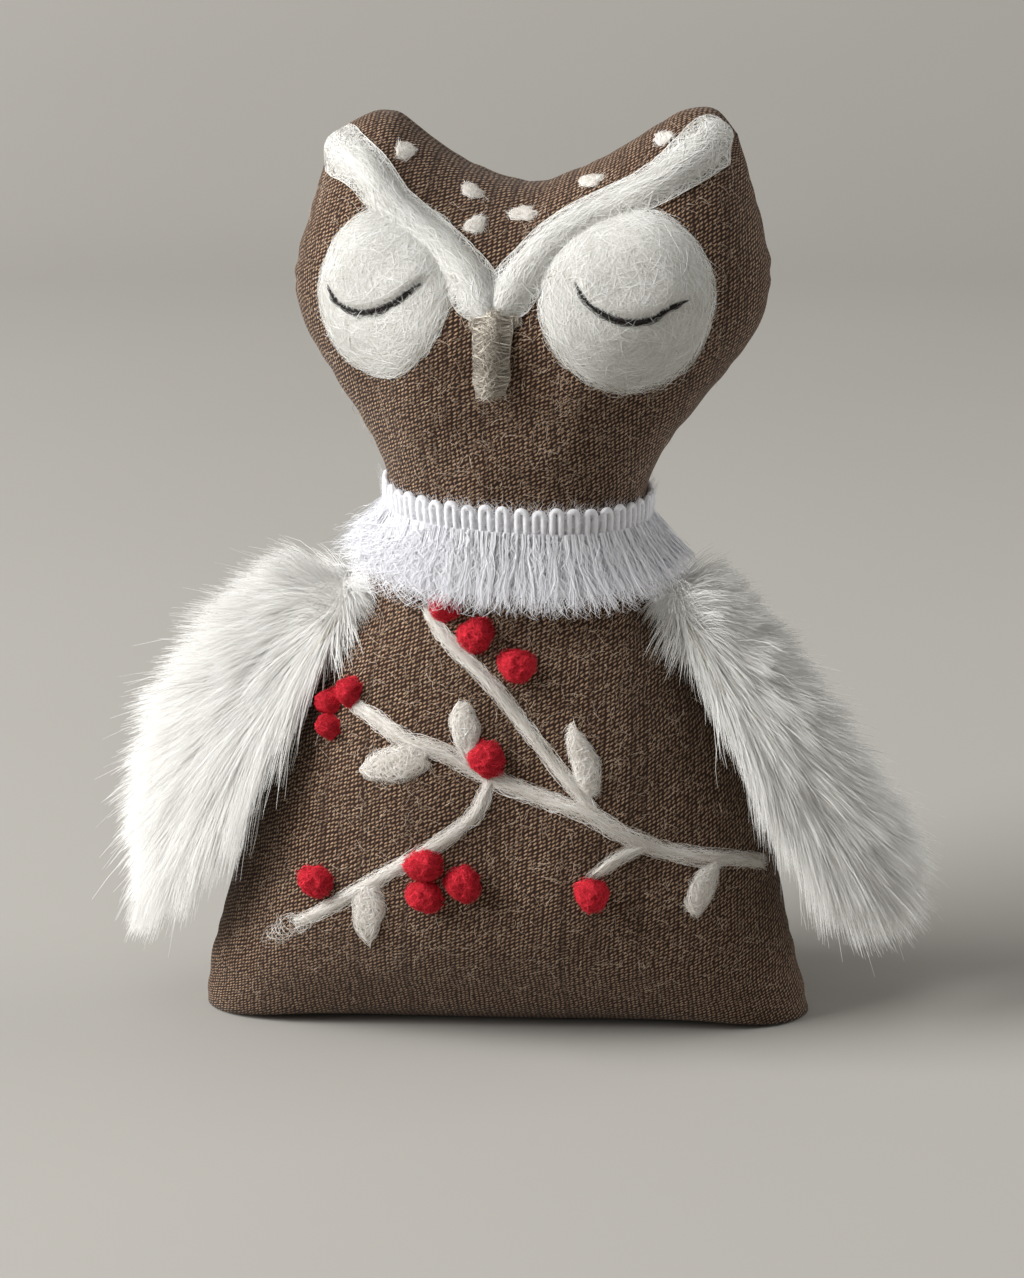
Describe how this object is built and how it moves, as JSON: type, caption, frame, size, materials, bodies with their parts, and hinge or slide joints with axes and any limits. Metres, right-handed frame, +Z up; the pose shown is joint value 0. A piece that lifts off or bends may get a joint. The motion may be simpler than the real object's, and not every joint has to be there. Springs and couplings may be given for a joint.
{
  "type": "plush owl",
  "caption": "Hand-sewn standing cloth owl with closed felted eyes, a felted berry sprig, a cotton neck fringe and white fur wings that lift at the shoulders.",
  "frame": {"origin": "centre of the flat band under the base, on which the owl stands", "axes": "+Z up, -Y towards a person whom the owl faces, +X to that person's right"},
  "size_m": [0.2201, 0.0786, 0.2475],
  "materials": {
    "cover_cloth": "brown twill upholstery weave, matt",
    "white_felt": "off-white needle-felted wool with fuzzy edges",
    "black_wool": "black needle-felted wool",
    "grey_felt": "grey-taupe wool felt",
    "red_wool": "red needle-felted wool",
    "white_cotton": "white cotton brush fringe",
    "fur_backing": "knitted backing of fur cloth",
    "white_fur": "long warm-white pile",
    "stuffing": "polyester fibre filling",
    "pouch_cloth": "cotton pouch of pellets",
    "brown_thread": "brown sewing thread",
    "white_thread": "white sewing thread"
  },
  "bodies": {
    "owl": {"front_panel": "cover_cloth", "back_panel": "cover_cloth", "base_gusset": "cover_cloth", "weight_pouch": "pouch_cloth", "body_stuffing": "stuffing", "head_stuffing": "stuffing", "closing_stitches": "brown_thread", "eye_disc_left": "white_felt", "eye_disc_right": "white_felt", "eyelid_left": "black_wool", "eyelid_right": "black_wool", "brow_left": "white_felt", "brow_right": "white_felt", "beak": "grey_felt", "forehead_spot_1": "white_felt", "forehead_spot_2": "white_felt", "forehead_spot_3": "white_felt", "forehead_spot_4": "white_felt", "forehead_spot_5": "white_felt", "forehead_spot_6": "white_felt", "fringe_header": "white_cotton", "fringe_skirt": "white_cotton", "stem_main": "white_felt", "stem_upper": "white_felt", "stem_lower": "white_felt", "stem_side": "white_felt", "leaf_1": "white_felt", "leaf_2": "white_felt", "leaf_3": "white_felt", "leaf_4": "white_felt", "leaf_5": "white_felt", "berry_1": "red_wool", "berry_2": "red_wool", "berry_3": "red_wool", "berry_4": "red_wool", "berry_5": "red_wool", "berry_6": "red_wool", "berry_7": "red_wool", "berry_8": "red_wool", "berry_9": "red_wool", "berry_10": "red_wool", "berry_11": "red_wool", "berry_12": "red_wool", "wing_left_stitches": "white_thread", "wing_right_stitches": "white_thread"},
    "wing_left": {"wing_left_pelt": "fur_backing", "wing_left_pile": "white_fur"},
    "wing_right": {"wing_right_pelt": "fur_backing", "wing_right_pile": "white_fur"}
  },
  "joints": [
    {"name": "wing_left_lift", "type": "hinge", "parent": "owl", "child": "wing_left", "pos_m": [-0.04001, -0.004, 0.1195], "axis": [0, 1, 0], "range_deg": [0, 70]},
    {"name": "wing_right_lift", "type": "hinge", "parent": "owl", "child": "wing_right", "pos_m": [0.04812, -0.004, 0.1195], "axis": [0, -1, 0], "range_deg": [0, 70]}
  ]
}
